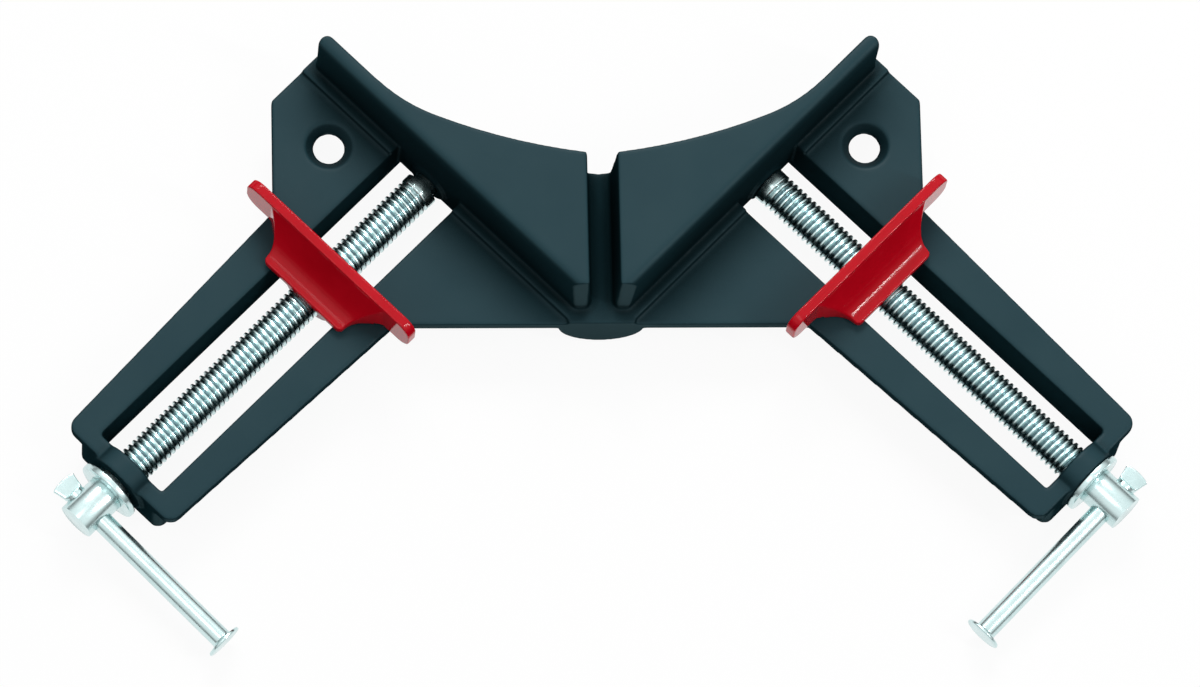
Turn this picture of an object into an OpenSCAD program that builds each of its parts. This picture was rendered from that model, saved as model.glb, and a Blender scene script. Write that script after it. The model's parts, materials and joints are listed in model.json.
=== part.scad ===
// Corner clamp for 90 degree frame joints.
// One ribbed casting carries two fences at right angles. Along each arm a captive screw drives a jaw
// towards its fence. The origin lies midway between the two bench screw holes, on the underside of the
// casting's plate. X runs across the clamp, Y away from the user and Z up.

/* [Plate] */
// Thickness of the casting's plate
plate_t = 3; // [2.5:0.1:5]
// Half the width of the plate between its two side edges
plate_half_w = 77.6; // [74:0.1:90]
// Distance of the front edge behind the corner where the fences would meet
front_gap = 2.6; // [1:0.1:4]
// Distance from the fence at which the plate narrows to the arm
arm_root = 33; // [30:0.1:38]
// Width of the arm at its outer end
arm_end_w = 34.6; // [32:0.1:38]
// Corner radius at the arm's outer end
arm_corner_r = 3; // [1:0.1:5]

/* [Slots and ribs] */
// Distance of each screw from the corner, measured along the fence
screw_v = 56.8; // [52:0.1:60]
// Width of the slot that guides the jaw
slot_w = 20; // [18:0.1:22]
// Length of the slot, from the fence to the end wall
slot_len = 100.8; // [90:0.1:120]
// Thickness of the wall that closes the slot's outer end
end_wall_t = 4.4; // [3:0.1:6]
// Thickness of the ribs beside the slot
rib_t = 3.4; // [2.5:0.1:4]
// Depth of the ribs below the plate's top face
rib_h = 14.2; // [13.4:0.1:18]
// Corner radius at the ribs' outer end
rib_corner_r = 2.4; // [1:0.1:3]

/* [Fences] */
// Height of the fences above the plate
fence_h = 16; // [14:0.1:22]
// Thickness of the fence wall
fence_t = 4.2; // [3:0.1:5]
// Length of each fence from the corner
fence_len = 96.5; // [94:0.1:104]
// How far the upright fence stops short of the plate's slanted edge
tip_gap = 1; // [0:0.1:2]
// Radius of the fence tip's corners in plan
tip_r = 1.8; // [0.5:0.1:1.9]
// Thickness of the deck behind the fences
deck_t = 3; // [2:0.1:4]
// Depth of the deck on the centre line, measured from the corner
deck_depth = 40.1; // [38:0.1:44]
// Radius of the hollow curve along the back of each deck
back_r = 145; // [130:1:170]
// Sideways offset of that curve's centre, past the centre line
back_cx = 15; // [5:0.5:25]
// Radius of the blend between that curve and the fence wall
back_fillet = 40; // [10:1:60]
// Height of the lip that stiffens the deck's back edge
lip_h = 6; // [4:0.1:8]
// Thickness of that lip and of the walls beside the kerf channel
lip_t = 3; // [2:0.1:4]
// Radius along the front edge of the deck
deck_round = 2.4; // [1:0.1:2.8]
// Radius along the back edge of the fence wall, beyond the deck
wall_round = 0.6; // [0.3:0.1:1.2]
// Distance from the corner to the foot of the fences' blunt front face
nose_gap = 6.3; // [5:0.1:9]
// How far that front face leans back over its height
nose_lean = 1.2; // [0.5:0.1:2]
// Radius of the nose's corners in plan, at its foot
nose_r = 1.8; // [1.2:0.1:2.4]
// Width of the raised strip at the foot of the fence
strip_w = 3; // [2:0.1:4]
// Half the width of the raised pad at the front edge
pad_half_w = 8; // [7:0.1:9]
// Height of that strip
strip_h = 1; // [0.5:0.1:1.5]
// Width of the saw kerf channel at its floor
channel_w = 5.3; // [4:0.1:8]
// Width of the saw kerf channel at the deck
channel_top_w = 7.2; // [6:0.1:10]
// Radius of the round spine under the channel
spine_r = 10.3; // [8:0.1:11]
// Distance of the spine's centre below the plate's top face
spine_drop = 2; // [0:0.1:3]

/* [Bench screw holes] */
// Diameter of the bench screw holes
hole_d = 7.3; // [5:0.1:8]
// Diameter of their countersinks
sink_d = 11.6; // [10:0.1:13]
// Depth of their countersinks
sink_depth = 2.2; // [1:0.1:2.2]
// Half the distance between the two holes
hole_x = 64; // [60:0.1:66]
// Distance of the holes behind the corner
hole_y = 47.5; // [44:0.1:50]

/* [Screws] */
// Outside diameter of the screw thread
screw_d = 9; // [8:0.1:9.1]
// Distance of the screw axis below the plate's top face
axis_drop = 4.8; // [4.5:0.1:5.2]
// Diameter of the plain journal that turns in the fence
journal_d = 6; // [5:0.1:6.6]
// Diameter of the bearing boss in the end wall
boss_d = 16; // [14:0.1:17]
// How far that boss stands out of the end wall
boss_proud = 0.8; // [0.4:0.1:2]
// Diameter of the collar round the journal on the fence face
collar_d = 11; // [10:0.1:11.2]
// How far that collar stands out of the fence face
collar_proud = 0.8; // [0.4:0.1:1.2]
// Length of the bearing behind the fence face
journal_seat = 6; // [5:0.1:7]
// Diameter of the screw head
head_d = 9.4; // [9.3:0.1:10]
// Length of the screw head
head_len = 10.1; // [9:0.1:14]
// Distance of the cross hole from the washer side of the head
cross_hole_at = 5.6; // [4.5:0.1:6]
// Diameter of the washer under the head
washer_d = 16; // [14:0.1:17]
// Thickness of that washer
washer_t = 1.6; // [1:0.1:2]
// Radial running clearance of turning and sliding rods
run_clear = 0.08; // [0.02:0.01:0.1]
// End float of each screw between its head and its retaining ring
end_float = 1.4; // [0.2:0.1:2]

/* [Retaining rings] */
// Outside diameter of the retaining ring
ring_d = 11.3; // [10:0.1:12]
// Thickness of the retaining ring
ring_t = 0.7; // [0.5:0.1:1]
// Diameter of the groove that holds it
groove_d = 5; // [4:0.1:5.2]
// Diameter of the thrust washer behind the fence
thrust_d = 12; // [10:0.1:13]
// Thickness of the thrust washer
thrust_t = 1; // [0.5:0.1:1.6]

/* [Jaws] */
// Width of the jaw plate
jaw_w = 53.3; // [46:0.1:60]
// Height of the jaw's top edge above the casting's plate
jaw_h = 12; // [10:0.1:16]
// Thickness of the jaw plate
jaw_t = 2.6; // [2:0.1:3]
// Corner radius of the jaw plate
jaw_corner_r = 3.5; // [1:0.1:5]
// Length of the jaw from its face to the rear edge of its foot
foot_len = 11.2; // [10:0.1:16]
// Width of the foot along its rear edge
foot_w = 25.4; // [21:0.1:30]
// Width of the foot where it meets the jaw plate
foot_root_w = 42; // [34:0.1:44]
// Height of the foot's rear edge above the casting's plate
foot_edge_h = 2.4; // [1.5:0.1:4]
// How hollow the buttress is: 1 is straight
jaw_hollow = 2.4; // [1.4:0.1:3]
// Radius of the foot's rear corners in plan
foot_corner_r = 1.3; // [0.5:0.1:3]
// Distance of the threaded barrel's rear end in front of that edge
nut_recess = 2; // [0.5:0.1:3]
// Diameter of the threaded barrel under the jaw
nut_d = 14; // [12:0.1:15]
// Clearance between the jaw and the casting
slide_clear = 0.3; // [0.1:0.05:0.5]

/* [Tommy bars] */
// Diameter of the tommy bar
bar_d = 5; // [4:0.1:5.4]
// Length from the screw axis to the tip of the headed end, at rest
bar_reach = 45; // [35:0.5:60]
// Diameter of the bar's nail head
nail_d = 9.2; // [7:0.1:10]
// Thickness of the nail head's rim
nail_t = 0.8; // [0.5:0.1:1.5]
// Length of the flare under the nail head
nail_flare = 1.2; // [0.5:0.1:2]
// Width of the flattened tail
tail_w = 6.6; // [5.8:0.1:7]
// Corner radius of the flattened tail
tail_r = 1.3; // [0.5:0.1:2.5]
// Length of the flattened tail
tail_len = 4.3; // [3:0.1:6]
// Thickness of the flattened tail
tail_t = 2.2; // [1.5:0.1:3]

/* [Rest position] */
// Gap between the left jaw and its fence
left_gap = 32.6; // [1:0.1:85]
// Gap between the right jaw and its fence
right_gap = 30.8; // [1:0.1:85]
// How far the headed ends of the tommy bars hang below level, in degrees
bar_droop = 5.5; // [0:0.5:5.5]

/* [Hidden] */
$fn = 64;
eps = 0.01;
far = 300;
seat_gap = 0.1;
bar_stop = 0.3;
ring_land = 1.2;
cast_colour = [0.17, 0.24, 0.26];
jaw_colour = [0.72, 0.04, 0.07];
zinc_colour = [0.80, 0.84, 0.85];

root2 = sqrt(2);
z_top = plate_t;
z_bench = z_top - rib_h;
z_axis = z_top - axis_drop;
z_strip = z_top + strip_h;
z_deck = z_top + fence_h;
arm_end = slot_len + end_wall_t;
rib_half_w = slot_w / 2 + rib_t;
sill_h = axis_drop + collar_d / 2;
fence_end = fence_len - tip_gap;
nut_end = foot_len - nut_recess;
back_c = [-back_cx, deck_depth + sqrt(pow(back_r, 2) - pow(back_cx, 2))];
blend_turn = asin((back_c[1] - back_c[0] - (fence_t + back_fillet) * root2) / (back_r - back_fillet) / root2) - 45;
blend_c = back_c + (back_r - back_fillet) * [sin(blend_turn), -cos(blend_turn)];
blend_v = (blend_c[0] + blend_c[1]) / root2;
bore_d = screw_d + 2 * run_clear;
journal_bore_d = journal_d + 2 * run_clear;
cross_hole_d = bar_d + 2 * run_clear;
boss_face = arm_end + boss_proud;
washer_at = boss_face + seat_gap;
head_at = washer_at + washer_t;
shoulder_at = collar_proud + slide_clear;
thrust_at = -journal_seat - seat_gap - end_float - thrust_t;
ring_at = thrust_at - ring_t - seat_gap / 2;
groove_w = ring_t + seat_gap;
journal_end = ring_at - ring_land;
left_float = end_float;
right_float = 0;
tail_root = head_d / 2 + bar_stop;

// Plan point from its distance s in front of the fence and v along the fence
function at(s, v) = [(s + v) / root2, (v - s) / root2];

// Points of a round corner: centre, radius, first and last angle
function arc(c, r, a0, a1, n = 8) =
  [for (i = [0:n]) c + r * [cos(a0 + (a1 - a0) * i / n), sin(a0 + (a1 - a0) * i / n)]];

// Frames: the clamp's corner moved to its place, then the right or the left fence with X out along the arm
module placed() translate([0, -hole_y, 0]) children();
module right_arm() rotate(-45) children();
module left_arm() mirror([1, 0, 0]) rotate(-45) children();
module both_arms() {
  right_arm() children();
  left_arm() children();
}

// A rod along the arm on the screw's axis, from s0 to s1
module rod(d, s0, s1) {
  translate([s0, screw_v, z_axis]) rotate([0, 90, 0]) cylinder(d = d, h = s1 - s0);
}

// Cutter that rounds an edge along Y whose solid lies at negative X and Z
module edge_round(r, length) {
  difference() {
    translate([-r, 0, -r]) cube([r + 1, length, r + 1]);
    translate([-r, -1, -r]) rotate([-90, 0, 0]) cylinder(r = r, h = length + 2);
  }
}

// Half space behind the fence wall, within the hollow curve of the deck's back
module back_curve(r, z0, z1) {
  intersection() {
    translate([back_c[0], back_c[1], z0]) cylinder(r = r, h = z1 - z0, $fn = 180);
    right_arm() translate([-far, -far, z0]) cube([far - fence_t, 2 * far, z1 - z0]);
  }
}

// Corner between that curve and the fence wall, outside their blend
module back_blend(z0, z1) {
  reach = 1.2 * back_fillet;
  difference() {
    translate([blend_c[0], blend_c[1], z0]) linear_extrude(z1 - z0) polygon([
      [0, 0],
      reach * [1, -1] / root2,
      reach * [sin(blend_turn), -cos(blend_turn)]
    ]);
    translate([blend_c[0], blend_c[1], z0 - 1]) cylinder(r = back_fillet, h = z1 - z0 + 2, $fn = 180);
  }
}

// Outline of the right half of the plate with its arm
function arm_outline() =
  let (
    r = arm_corner_r,
    near = screw_v - arm_end_w / 2,
    tip = screw_v + arm_end_w / 2
  )
  concat(
    [[arm_root, arm_root + front_gap * root2]],
    arc([arm_end - r, near + r], r, -90, 0),
    arc([arm_end - r, tip - r], r, 0, 90),
    [[arm_root, plate_half_w * root2 - arm_root]]
  );

module half_plate() {
  right_arm() linear_extrude(plate_t) polygon(arm_outline());
  linear_extrude(plate_t) polygon([
    [0, front_gap],
    at(arm_root, arm_root + front_gap * root2),
    at(arm_root, plate_half_w * root2 - arm_root),
    [plate_half_w, fence_len * root2 - plate_half_w],
    at(-fence_t, fence_len),
    [0, at(-fence_t, fence_len)[1]]
  ]);
}

// Raised strip at the foot of the fence, which also makes the channel's floor
module half_strip() {
  linear_extrude(z_strip) polygon([
    [0, front_gap],
    [pad_half_w, front_gap],
    [pad_half_w, max(front_gap, pad_half_w - strip_w * root2)],
    at(strip_w, fence_len),
    at(-fence_t, fence_len),
    [0, at(-fence_t, fence_len)[1]]
  ]);
}

// Fence and deck as one block with rounded top edges, a round tip and a leaning nose
module half_fence() {
  lean = atan(nose_lean / (fence_h - strip_h));
  r = nose_r;
  difference() {
    linear_extrude(z_deck) polygon(concat(
      [[0, nose_gap]],
      arc([nose_gap + r - r * root2, nose_gap + r], r, -90, -45),
      [for (p = concat(
        arc([-tip_r, fence_end - tip_r], tip_r, 0, 90),
        arc([tip_r - fence_t, fence_end - tip_r], tip_r, 90, 180)
      )) at(p[0], p[1])],
      [[0, at(-fence_t, fence_end)[1]]]
    ));
    translate([0, nose_gap, z_strip]) rotate([-lean, 0, 0]) translate([-far, -far, 0]) cube([2 * far, far, far]);
    nose_corner();
    right_arm() {
      translate([0, 0, z_deck]) edge_round(deck_round, fence_len);
      translate([-fence_t, blend_v, z_deck]) mirror([1, 0, 0]) edge_round(wall_round, fence_len);
    }
  }
}

// Cutter that rounds the nose where it meets the channel, with the channel's draft
module nose_corner() {
  x = channel_w / 2 + nose_r;
  difference() {
    translate([0, nose_gap - 1, z_strip]) cube([x, nose_r + 1, fence_h]);
    translate([x, nose_gap + nose_r, z_strip])
      cylinder(r1 = nose_r, r2 = x - channel_top_w / 2, h = z_deck - z_strip);
  }
}

// Hollow under the deck, open below and at the back, with a lip along the deck's back edge
module half_hollow() {
  side = channel_top_w / 2 + lip_t;
  z_low = z_bench - 1;
  difference() {
    intersection() {
      right_arm() translate([-far, -far, z_low]) cube([far - fence_t, 2 * far, z_deck - deck_t - z_low]);
      translate([side, -far, z_low]) cube([far, 2 * far, far]);
    }
    back_curve(back_r + lip_t, z_deck - lip_h, z_deck);
  }
}

// Ribs that frame the slot, joined across the fence by a sill
module slot_ribs() {
  r = rib_corner_r;
  translate([0, 0, z_bench]) linear_extrude(rib_h) polygon(concat(
    [[-fence_t, screw_v - rib_half_w]],
    arc([arm_end - r, screw_v - rib_half_w + r], r, -90, 0),
    arc([arm_end - r, screw_v + rib_half_w - r], r, 0, 90),
    [[-fence_t, screw_v + rib_half_w]]
  ));
}

module slot() {
  translate([0, screw_v - slot_w / 2, z_bench - 1]) cube([slot_len, slot_w, rib_h + far]);
  translate([-fence_t - 1, screw_v - slot_w / 2, z_bench - 1])
    cube([fence_t + 2, slot_w, rib_h - sill_h + 1]);
}

// Half round spine that backs the channel
module spine() {
  intersection() {
    translate([0, front_gap, z_top - spine_drop]) rotate([-90, 0, 0])
      cylinder(r = spine_r, h = deck_depth - front_gap);
    translate([-spine_r, 0, z_bench]) cube([2 * spine_r, far, z_top - z_bench]);
  }
}

// Saw kerf channel between the decks, with drafted walls
module channel() {
  draft = (channel_top_w - channel_w) / 2 / (z_deck - z_strip);
  translate([0, far, z_strip]) rotate([90, 0, 0]) linear_extrude(2 * far) polygon([
    [-channel_w / 2, 0],
    [channel_w / 2, 0],
    [channel_w / 2 + draft * far, far],
    [-channel_w / 2 - draft * far, far]
  ]);
}

module bench_hole() {
  translate([hole_x, hole_y, -far]) cylinder(d = hole_d, h = 2 * far);
  translate([hole_x, hole_y, z_top - sink_depth]) cylinder(d1 = hole_d, d2 = sink_d, h = sink_depth);
  translate([hole_x, hole_y, z_top - eps]) cylinder(d = sink_d, h = far);
}

module half_casting() {
  difference() {
    union() {
      half_plate();
      half_strip();
      half_fence();
    }
    difference() {
      back_curve(back_r, z_bench, z_deck + 1);
      back_blend(z_bench - 1, z_deck + 2);
    }
    half_hollow();
    bench_hole();
  }
}

module body_casting() {
  color(cast_colour) placed() difference() {
    union() {
      half_casting();
      mirror([1, 0, 0]) half_casting();
      spine();
      both_arms() {
        slot_ribs();
        rod(boss_d, slot_len, boss_face);
        rod(collar_d, -journal_seat, collar_proud);
      }
    }
    both_arms() {
      difference() {
        slot();
        rod(collar_d, -journal_seat, collar_proud);
        rod(boss_d, slot_len, boss_face);
      }
      rod(bore_d, slot_len - 1, boss_face + 1);
      rod(journal_bore_d, -journal_seat - 1, collar_proud + 1);
    }
    channel();
  }
}

// Screw: thread, plain journal with its ring groove, and a head drilled for the bar
module screw(float) {
  translate([float, 0, 0]) difference() {
    union() {
      rod(screw_d, shoulder_at, head_at + eps);
      rod(journal_d, journal_end, shoulder_at + eps);
      rod(head_d, head_at, head_at + head_len);
    }
    difference() {
      rod(journal_d + 1, ring_at - seat_gap / 2, ring_at - seat_gap / 2 + groove_w);
      rod(groove_d, ring_at - 1, ring_at + groove_w + 1);
    }
    bar_frame() translate([-head_d, 0, 0]) rotate([0, 90, 0]) cylinder(d = cross_hole_d, h = 2 * head_d);
  }
}

// Frame of the tommy bar: X along the bar towards its nail head
module bar_frame() {
  translate([head_at + cross_hole_at, screw_v, z_axis]) rotate([bar_droop, 0, 0]) rotate(-90) children();
}

module head_washer(float) {
  translate([float, 0, 0]) difference() {
    rod(washer_d, washer_at, washer_at + washer_t);
    rod(bore_d, washer_at - 1, washer_at + washer_t + 1);
  }
}

module thrust_washer(float) {
  translate([float, 0, 0]) difference() {
    rod(thrust_d, thrust_at, thrust_at + thrust_t);
    rod(journal_bore_d, thrust_at - 1, thrust_at + thrust_t + 1);
  }
}

// Retaining ring with an open mouth and three lugs that reach into the groove
module retaining_ring(float) {
  rim = (ring_d - journal_d) / 4;
  lug = ring_d / 6;
  translate([float + ring_at, screw_v, z_axis]) rotate([0, 90, 0]) linear_extrude(ring_t) difference() {
    union() {
      difference() {
        circle(d = ring_d);
        circle(d = ring_d - 2 * rim);
        translate([0, -lug]) square([ring_d, 2 * lug]);
      }
      for (turn = [75, 180, 285])
        rotate(turn) translate([groove_d / 4, -lug / 2]) square([(ring_d - rim) / 2 - groove_d / 4, lug]);
    }
    circle(d = groove_d + seat_gap / 2);
  }
}

// Jaw: upright plate, buttress with a foot on the rails, and a threaded barrel in the slot
module jaw(gap) {
  z_foot = z_top + slide_clear;
  z_plate = z_strip + slide_clear;
  foot_front = strip_w + 2 * slide_clear;
  half_nut = slot_w / 2 - slide_clear;
  nut_front = collar_proud;
  translate([gap, screw_v, 0]) difference() {
    union() {
      jaw_plate(z_plate);
      intersection() {
        jaw_profile(z_foot, z_plate, foot_front);
        jaw_plan();
      }
      translate([nut_front, -half_nut, z_axis]) cube([nut_end - nut_front, 2 * half_nut, z_plate - z_axis]);
      translate([nut_front, 0, z_axis]) rotate([0, 90, 0]) cylinder(d = nut_d, h = nut_end - nut_front);
    }
    translate([-1, 0, z_axis]) rotate([0, 90, 0]) cylinder(d = bore_d, h = foot_len + 2);
  }
}

// Upright jaw plate with round corners
module jaw_plate(z_plate) {
  r = jaw_corner_r;
  z_crown = z_top + jaw_h;
  rotate([90, 0, 90]) linear_extrude(jaw_t) polygon(concat(
    arc([-jaw_w / 2 + r, z_plate + r], r, 180, 270),
    arc([jaw_w / 2 - r, z_plate + r], r, 270, 360),
    arc([jaw_w / 2 - r, z_crown - r], r, 0, 90),
    arc([-jaw_w / 2 + r, z_crown - r], r, 90, 180)
  ));
}

// Side view of the buttress and foot, one hollow sweep drawn across the whole jaw
module jaw_profile(z_foot, z_plate, foot_front) {
  drop = jaw_h - foot_edge_h;
  run = foot_len - jaw_t;
  translate([0, jaw_w / 2, 0]) rotate([90, 0, 0]) linear_extrude(jaw_w) polygon(concat(
    [[jaw_t / 2, z_plate], [jaw_t / 2, z_top + jaw_h - jaw_t / 2]],
    [for (i = [0:18]) let (k = i / 18)
      [jaw_t + run * k, z_top + foot_edge_h + drop * pow(1 - k, jaw_hollow) - jaw_t / 4 * (1 - k)]],
    [[foot_len, z_foot], [foot_front, z_foot], [foot_front, z_plate]]
  ));
}

// Plan of the buttress: its sides sweep in from the jaw plate to the foot's round corners
module jaw_plan() {
  r = foot_corner_r;
  sweep = (foot_root_w - foot_w) / 2;
  run = foot_len - r - jaw_t / 2;
  flank = concat(
    [for (i = [0:11]) [jaw_t / 2 + run * i / 12, foot_w / 2 + sweep * pow(1 - i / 12, 2.2)]],
    arc([foot_len - r, foot_w / 2 - r], r, 90, 0)
  );
  translate([0, 0, z_bench]) linear_extrude(far) polygon(concat(
    flank,
    [for (i = [len(flank) - 1:-1:0]) [flank[i][0], -flank[i][1]]]
  ));
}

// Tommy bar: round rod with a nail head at one end and a flattened tail at the other
module tommy_bar(float) {
  translate([float, 0, 0]) bar_frame() {
    translate([-tail_root, 0, 0]) rotate([0, 90, 0]) cylinder(d = bar_d, h = tail_root + bar_reach - nail_t);
    translate([bar_reach - nail_t - nail_flare, 0, 0]) rotate([0, 90, 0])
      cylinder(d1 = bar_d, d2 = nail_d, h = nail_flare);
    translate([bar_reach - nail_t - eps, 0, 0]) rotate([0, 90, 0]) cylinder(d = nail_d, h = nail_t + eps);
    translate([-tail_root - tail_len, 0, -tail_t / 2]) linear_extrude(tail_t) polygon(concat(
      arc([tail_r, tail_r - tail_w / 2], tail_r, 180, 270),
      [[tail_len + 1, 0.3 - bar_d / 2], [tail_len + 1, bar_d / 2 - 0.3]],
      arc([tail_r, tail_w / 2 - tail_r], tail_r, 90, 180)
    ));
  }
}

module left_screw() color(zinc_colour) placed() left_arm() screw(left_float);
module right_screw() color(zinc_colour) placed() right_arm() screw(right_float);
module left_head_washer() color(zinc_colour) placed() left_arm() head_washer(left_float);
module right_head_washer() color(zinc_colour) placed() right_arm() head_washer(right_float);
module left_thrust_washer() color(zinc_colour) placed() left_arm() thrust_washer(left_float);
module right_thrust_washer() color(zinc_colour) placed() right_arm() thrust_washer(right_float);
module left_retaining_ring() color(zinc_colour) placed() left_arm() retaining_ring(left_float);
module right_retaining_ring() color(zinc_colour) placed() right_arm() retaining_ring(right_float);
module left_tommy_bar() color(zinc_colour) placed() left_arm() tommy_bar(left_float);
module right_tommy_bar() color(zinc_colour) placed() right_arm() tommy_bar(right_float);
module left_jaw() color(jaw_colour) placed() left_arm() jaw(left_gap);
module right_jaw() color(jaw_colour) placed() right_arm() jaw(right_gap);

body_casting();
left_screw();
right_screw();
left_head_washer();
right_head_washer();
left_thrust_washer();
right_thrust_washer();
left_retaining_ring();
right_retaining_ring();
left_tommy_bar();
right_tommy_bar();
left_jaw();
right_jaw();
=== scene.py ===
"""Screw-driven corner clamp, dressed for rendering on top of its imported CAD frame.

The CAD nodes give every place and size. This script softens the castings the way a mould and a coat
of enamel do, rolls threads on the screws, forges the tommy bars, stamps the washers, and sets a
plain bright studio. Lengths are in millimetres where a name says so, and in metres in the meshes.
"""

from __future__ import annotations

import json
import logging
import math
from abc import ABC, abstractmethod
from dataclasses import dataclass, field
from enum import Enum

import bmesh
import bpy
from mathutils import Matrix, Vector

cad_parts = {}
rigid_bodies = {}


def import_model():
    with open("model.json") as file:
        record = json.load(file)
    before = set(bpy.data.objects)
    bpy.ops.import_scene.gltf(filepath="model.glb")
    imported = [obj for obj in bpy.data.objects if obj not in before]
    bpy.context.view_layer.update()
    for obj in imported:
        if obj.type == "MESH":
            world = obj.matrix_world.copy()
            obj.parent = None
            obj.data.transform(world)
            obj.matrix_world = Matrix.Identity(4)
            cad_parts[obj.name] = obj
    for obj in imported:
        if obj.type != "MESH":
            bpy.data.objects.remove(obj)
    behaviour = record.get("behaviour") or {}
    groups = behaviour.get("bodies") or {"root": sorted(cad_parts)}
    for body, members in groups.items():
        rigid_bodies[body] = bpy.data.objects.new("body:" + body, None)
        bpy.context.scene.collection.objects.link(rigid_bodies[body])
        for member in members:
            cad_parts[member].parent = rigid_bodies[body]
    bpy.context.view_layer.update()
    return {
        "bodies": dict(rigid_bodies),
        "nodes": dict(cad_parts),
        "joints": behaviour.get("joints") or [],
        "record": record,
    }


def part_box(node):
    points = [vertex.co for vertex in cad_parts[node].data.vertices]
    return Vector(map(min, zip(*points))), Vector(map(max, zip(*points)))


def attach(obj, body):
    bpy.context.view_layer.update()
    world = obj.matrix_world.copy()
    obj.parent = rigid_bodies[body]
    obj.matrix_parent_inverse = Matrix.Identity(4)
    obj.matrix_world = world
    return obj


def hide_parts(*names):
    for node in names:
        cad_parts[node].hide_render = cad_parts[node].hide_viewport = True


log = logging.getLogger("corner_clamp")

# A span is a lowest and a highest value, and a section is a place, two half sizes and a power.
Socket = bpy.types.NodeSocket
Span = tuple[float, float]
Pair = tuple[float, float]
Colour = tuple[float, float, float]
Place = tuple[float, float, float]
Section = tuple[float, float, float, float]

MM = 0.001
UP = Vector((0.0, 0.0, 1.0)).freeze()
GROOVE = "groove"

# Points of a CAD node nearer than the first are one, and edges shorter than the second are dropped.
WELD_MM = 0.002
SLIVER_MM = 0.001

# Places of a colour Mix node's factor, two colours and result, whose names repeat in the node.
MIX_INPUTS = (0, 6, 7)
MIX_RESULT = 2


class ArmSide(Enum):
    """The two arms of the clamp."""

    LEFT = "left"
    RIGHT = "right"


class Slot(Enum):
    """Material slots of the record."""

    CAST = "cast_enamel"
    JAW = "jaw_enamel"
    ZINC = "bright_zinc"


class ThreadHand(Enum):
    """Which way a thread winds round its axis."""

    LEFT = -1.0
    RIGHT = 1.0


@dataclass
class NodeSheet:
    """A node tree that is being filled.

    Attributes:
        tree: The shader or geometry tree.
    """

    tree: bpy.types.NodeTree

    def add(self, kind: str, **settings: object) -> bpy.types.Node:
        """Adds one node.

        Args:
            kind: Blender's identifier of the node type.
            **settings: Properties to set on the node.

        Returns:
            The new node.
        """
        node = self.tree.nodes.new(kind)
        for key, value in settings.items():
            setattr(node, key, value)
        return node

    def link(self, source: Socket, target: Socket) -> None:
        """Joins an output to an input.

        Args:
            source: The output socket.
            target: The input socket.
        """
        self.tree.links.new(source, target)

    def feed(self, target: Socket, term: Socket | Colour | float) -> None:
        """Fills an input with a link, a colour or a number.

        Args:
            target: The input socket.
            term: The output socket to link, or the value to set.
        """
        if isinstance(term, Socket):
            self.link(term, target)
        elif isinstance(term, tuple):
            target.default_value = (*term, 1.0)
        else:
            target.default_value = term

    def math(self, operation: str, *terms: Socket | float) -> Socket:
        """Adds one Math node.

        Args:
            operation: The operation, as Blender names it.
            *terms: Sockets to link or numbers to set, in order.

        Returns:
            The node's output.
        """
        node = self.add("ShaderNodeMath", operation=operation)
        for socket, term in zip(node.inputs, terms):
            self.feed(socket, term)
        return node.outputs["Value"]

    def spread(
        self, value: Socket, source: Span, target: Span = (0.0, 1.0), smooth: bool = False
    ) -> Socket:
        """Maps a value from one range to another, clamped.

        Args:
            value: The socket to read.
            source: Lowest and highest value read.
            target: What those two become.
            smooth: Eases in and out instead of a straight line.

        Returns:
            The mapped value.
        """
        easing = "SMOOTHSTEP" if smooth else "LINEAR"
        node = self.add("ShaderNodeMapRange", interpolation_type=easing)
        self.link(value, node.inputs["Value"])
        for name, number in zip(("From Min", "From Max", "To Min", "To Max"), (*source, *target)):
            node.inputs[name].default_value = number
        return node.outputs["Result"]

    def blend(self, factor: Socket, first: Socket | Colour, second: Socket | Colour) -> Socket:
        """Mixes two colours.

        Args:
            factor: 0 for the first, 1 for the second.
            first: A colour or a colour socket.
            second: A colour or a colour socket.

        Returns:
            The mixed colour.
        """
        node = self.add("ShaderNodeMix", data_type="RGBA")
        for place, term in zip(MIX_INPUTS, (factor, first, second)):
            self.feed(node.inputs[place], term)
        return node.outputs[MIX_RESULT]

    def part(self, vector: Socket, axis: str) -> Socket:
        """Takes one coordinate of a vector.

        Args:
            vector: The vector socket.
            axis: The coordinate, X, Y or Z.

        Returns:
            That coordinate.
        """
        node = self.add("ShaderNodeSeparateXYZ")
        self.link(vector, node.inputs["Vector"])
        return node.outputs[axis]

    def noise(self, size_mm: float, detail: float = 2.0) -> Socket:
        """Adds a noise pattern that is fixed to the object.

        Args:
            size_mm: About how far apart its features lie.
            detail: Octaves of finer noise on top.

        Returns:
            The noise value, around 0.5.
        """
        texture = self.add("ShaderNodeTexNoise")
        texture.inputs["Scale"].default_value = 1.0 / (size_mm * MM)
        texture.inputs["Detail"].default_value = detail
        self.link(self.add("ShaderNodeTexCoord").outputs["Object"], texture.inputs["Vector"])
        return texture.outputs["Fac"]

    def room(self, reach_mm: float, samples: int = 6) -> Socket:
        """Measures how free the surroundings of a place are, from the piece's own shape.

        Args:
            reach_mm: How far to look for other faces.
            samples: How many ways to look at once.

        Returns:
            0 for a place that is shut in and 1 for a free one.
        """
        around = self.add("ShaderNodeAmbientOcclusion", samples=samples, only_local=True)
        around.inputs["Distance"].default_value = reach_mm * MM
        return around.outputs["AO"]

    def facing(self, axis: str) -> Socket:
        """Measures how squarely a face looks along an axis, either way.

        Args:
            axis: The axis, X, Y or Z.

        Returns:
            0 for a face that lies along the axis and 1 for one square to it.
        """
        normal = self.add("ShaderNodeTexCoord").outputs["Normal"]
        return self.math("ABSOLUTE", self.part(normal, axis))


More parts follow.
